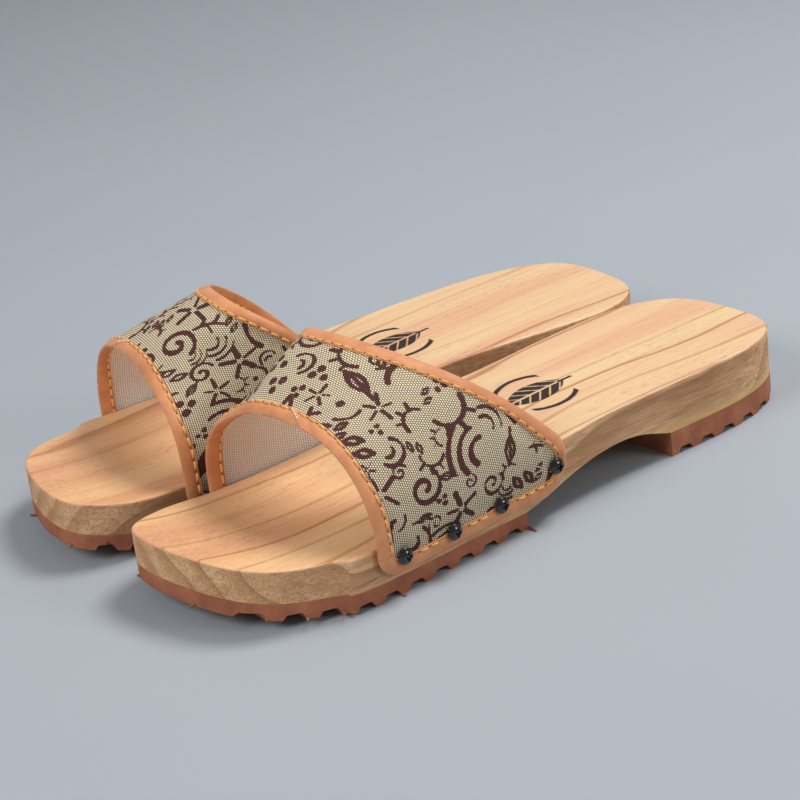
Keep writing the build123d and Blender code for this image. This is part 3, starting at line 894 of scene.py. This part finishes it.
def build_mixed(name, points, faces, side):
    """As build, for a mesh of triangles and quads together."""
    mesh = bpy.data.meshes.new(name)
    mesh.from_pydata(place(points, side).tolist(), [], [f[::-1] if side > 0 else f for f in faces])
    mesh.polygons.foreach_set("use_smooth", [True] * len(mesh.polygons))
    mesh.update()
    piece = bpy.data.objects.new(name, mesh)
    bpy.context.scene.collection.objects.link(piece)
    return piece


def make_flash(name, who, side):
    """Small slivers of moulding flash at the tread's lower edge."""
    co = np.array([v.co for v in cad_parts[f"{who}_forefoot_tread"].data.vertices], float) * 1000
    east, north = co[:, 0] * side - HEEL_X, PAIR_Y + side * STAGGER - co[:, 1]
    c, s = math.cos(SPLAY), math.sin(SPLAY)
    local = np.stack((east * c - north * s, east * s + north * c + HEEL_Y, co[:, 2]), -1)
    low = local[local[:, 2] < 8.0]
    rng = random.Random(40 + side)
    paths = []
    for x, y, reach in (
            (22.6, 257, 4.6), (31, 246, 2.8), (38.6, 234, 3.4), (-42.4, 262, 2.4), (39.5, 150, 3.4),
            (5, 268, 2.2), (41, 212, 2.2), (-44, 205, 2.2), (-30, 268, 1.8)):
        near = low[np.argmin(np.hypot(low[:, 0] - x, low[:, 1] - y) + 0.3 * low[:, 2])]
        away = np.array((near[0], near[1] - 215 if near[1] > 215 else 0.0, 0.0))
        away /= np.linalg.norm(away)
        away = away + np.array((rng.uniform(-0.3, 0.3), rng.uniform(-0.3, 0.3), 0.0))
        start = near + np.array((0, 0, 0.7)) - 0.8 * away
        bend = rng.uniform(-0.25, 0.45)
        path = [start + away * t * (reach + 0.8) + np.array((0, 0, bend * t * t * reach))
                for t in np.linspace(0, 1, 6)]
        paths.append((np.array(path), np.array((0, 0, 1.0))))
    points, faces = tubes(paths, 0.55, sides=5)
    return build_mixed(name, points, faces, side)


def make_join(name, side):
    """The tape's overlapped end: a thin wedge across the tape, cut on the slant, with white stitches."""
    wing = [k for k, (inset, grow) in enumerate(TAPE_SECTION) if 1 <= k <= 15]
    points, facts = [], []
    steps = 9
    low, high = EDGE_STATIONS["front"]
    middle = low + (high - low) * JOIN
    across = np.r_[0, np.cumsum([math.dist(a, b) for a, b in zip(TAPE_SECTION, TAPE_SECTION[1:])])]
    for k in wing:
        inset, grow = TAPE_SECTION[k]
        reach = np.linspace(0, 8.0, steps)
        station = middle + 5.0 - across[k] * 1.5 - reach
        lift = 0.42 * (1 - ease(reach / 8.0)) - 0.02
        lift[0] = 0.0
        out_inset = inset - lift * max(0.0, 1 - inset / 1.2) * (1 if grow < 3.2 else 0.3)
        place_at = meet(station, grow, front_outline(max(0.0, float(inset * CREST_SPREAD))))
        raised = crest_grow(grow) + (lift if grow > 1.6 else -lift * 0.6)
        p = surface(station, place_at, raised)
        p = p + np.array((0, 1.0, 0)) * (inset - out_inset)[:, None]
        points.append(p)
        facts.append(np.stack((station + 40, np.full(steps, across[k]), 0 * station), -1))
    points = np.array(points)
    rows, columns = points.shape[:2]
    wedge = build(name, points.reshape(-1, 3), grid_faces(rows, columns), side,
                  {"cloth": np.concatenate(facts)})
    line = points[1:11, 1]
    tips = []
    way = points[1:11, 4] - points[1:11, 1]
    outward = surface(np.array([middle]), np.array([0.15]), np.array([1.0]))[0] - surface(
        np.array([middle]), np.array([0.15]), np.array([0.0]))[0]
    run = np.r_[0, np.cumsum(np.linalg.norm(np.diff(line, axis=0), axis=1))]
    for k in range(4):
        reach = np.linspace(0.4 + k * 1.75, 1.7 + k * 1.75, 6)
        path = np.stack([np.interp(reach, run, line[:, i]) for i in range(3)], -1)
        path = path + way.mean(0) * 0.16
        bow = np.array((-0.25, 0.1, 0.22, 0.22, 0.1, -0.25))
        tips.append((path + bow[:, None] * outward, outward))
    verts, faces = tubes(tips, 0.27)
    return wedge, build_mixed(name + "_stitches", verts, faces, side)


MATERIALS = {"sole_rubber": rubber(), "strap_fabric": jacquard(), "edge_tape": tape_cloth(),
             "strap_lining": spacer_mesh(), "strap_padding": foam_cloth(),
             "seam_thread": thread_cord("seam_thread", (250, 196, 108), (222, 154, 70)),
             "needle_shadow": thread_cord("needle_shadow", (122, 66, 36), (84, 42, 22)),
             "pale_thread": thread_cord("pale_thread", (250, 246, 238), (222, 214, 204)),
             "screw_steel": black_steel()}


def dress(piece, material, body=None):
    """Give a piece its material and, for a new piece and the body it rides on."""
    piece.data.materials.clear()
    piece.data.materials.append(material)
    if body:
        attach(piece, body)
    return piece


for who, side in SIDES.items():
    body = f"{who}_slipper"
    leaf = place(LEAF_PLACE, side) * 1000
    across, turned = side * leaf[0], -side * SPLAY
    footbed = wood(side, across * math.cos(turned) - leaf[1] * math.sin(turned),
                   across * math.sin(turned) + leaf[1] * math.cos(turned))
    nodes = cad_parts
    dress(nodes[f"{who}_wood_sole"], footbed)
    dress(nodes[f"{who}_heel_tread"], MATERIALS["sole_rubber"])
    dress(nodes[f"{who}_forefoot_tread"], MATERIALS["sole_rubber"])
    for wing in ("outer", "inner"):
        for number in (1, 2, 3, 4):
            dress(nodes[f"{who}_{wing}_screw_{number}"], MATERIALS["screw_steel"])

    fabric = dress(make_fabric(f"{who}_strap_cloth", side), MATERIALS["strap_fabric"], body)
    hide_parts(f"{who}_vamp_fabric")
    lining = dress(make_lining(f"{who}_strap_lining", side), MATERIALS["strap_lining"], body)
    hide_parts(f"{who}_vamp_lining")
    foam = dress(make_foam(f"{who}_strap_foam", side), MATERIALS["strap_padding"], body)
    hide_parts(f"{who}_vamp_foam")
    tape, tape_run = make_tape(f"{who}_edge_binding", side)
    dress(tape, MATERIALS["edge_tape"], body)
    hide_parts(f"{who}_edge_tape")
    outside, outside_hole_shade = sewn(f"{who}_outer_stitches", side, STITCH_INSET, 3.2, True, True)
    dress(outside, MATERIALS["seam_thread"], body)
    dress(outside_hole_shade, MATERIALS["needle_shadow"], body)
    inside, inside_hole_shade = sewn(f"{who}_inner_stitches", side, STITCH_INSET, 0.12, False, False)
    dress(inside, MATERIALS["seam_thread"], body)
    dress(inside_hole_shade, MATERIALS["needle_shadow"], body)
    join, join_stitches = make_join(f"{who}_tape_join", side)
    dress(join, MATERIALS["edge_tape"], body)
    dress(join_stitches, MATERIALS["pale_thread"], body)
    dress(make_flash(f"{who}_tread_flash", who, side), MATERIALS["sole_rubber"], body)

# ---- floor, light and camera ---------------------------------------------------------------
floor_mesh = bpy.data.meshes.new("floor")
floor_mesh.from_pydata([(-6, -6, 0), (6, -6, 0), (6, 6, 0), (-6, 6, 0)], [], [(0, 1, 2, 3)])
floor = bpy.data.objects.new("floor", floor_mesh)
bpy.context.scene.collection.objects.link(floor)
paper = Shader("pale_paper", roughness=0.85)
cloud = paper.noise(paper.coordinates(), 0.004, 2.0)
shade = paper.mix(cloud, linear(160, 168, 176), linear(166, 173, 181))
floor.data.materials.append(paper.set(Base_Color=shade))

world = bpy.data.worlds.new("studio")
bpy.context.scene.world = world
world.use_nodes = True
world.node_tree.nodes["Background"].inputs["Color"].default_value = linear(232, 236, 242)
world.node_tree.nodes["Background"].inputs["Strength"].default_value = 0.31
bpy.context.scene.view_settings.view_transform = "Standard"


def area_light(name, place_at, aim, size, energy, colour):
    """A round soft light aimed at a point."""
    data = bpy.data.lights.new(name, "AREA")
    data.shape = "DISK"
    data.size = size
    data.energy = energy
    data.color = colour
    lamp = bpy.data.objects.new(name, data)
    lamp.location = place_at
    lamp.rotation_mode = "QUATERNION"
    lamp.rotation_quaternion = (Vector(aim) - Vector(place_at)).to_track_quat("-Z", "Y")
    bpy.context.scene.collection.objects.link(lamp)


LAMP_WHITE = (1.0, 0.98, 0.95)
area_light("overhead", (0.1, 0.7, 1.35), (0, -0.02, 0.02), 0.62, 16.5, LAMP_WHITE)
area_light("front_fill", (0.15, -1.15, 0.95), (0, -0.02, 0.03), 0.7, 9.5, LAMP_WHITE)
area_light("side_fill", (1.25, 0.75, 0.75), (0, 0.0, 0.02), 0.6, 5.0, LAMP_WHITE)

AZIMUTH, ELEVATION, DISTANCE = math.radians(57.59), math.radians(22.65), 0.95484
ROLL = math.radians(-7.436)
TARGET = Vector((-0.05073, 0.03140, 0.0))
camera_data = bpy.data.cameras.new("camera")
camera_data.sensor_width = 36
camera_data.lens = 103.19
camera_data.clip_start, camera_data.clip_end = 0.05, 30
camera = bpy.data.objects.new("camera", camera_data)
toward = Vector((math.sin(AZIMUTH) * math.cos(ELEVATION), -math.cos(AZIMUTH) * math.cos(ELEVATION),
                 math.sin(ELEVATION)))
camera.location = TARGET + toward * DISTANCE
camera.rotation_mode = "QUATERNION"
camera.rotation_quaternion = (-toward).to_track_quat("-Z", "Y") @ Quaternion((0, 0, 1), ROLL)
bpy.context.scene.collection.objects.link(camera)
bpy.context.scene.camera = camera
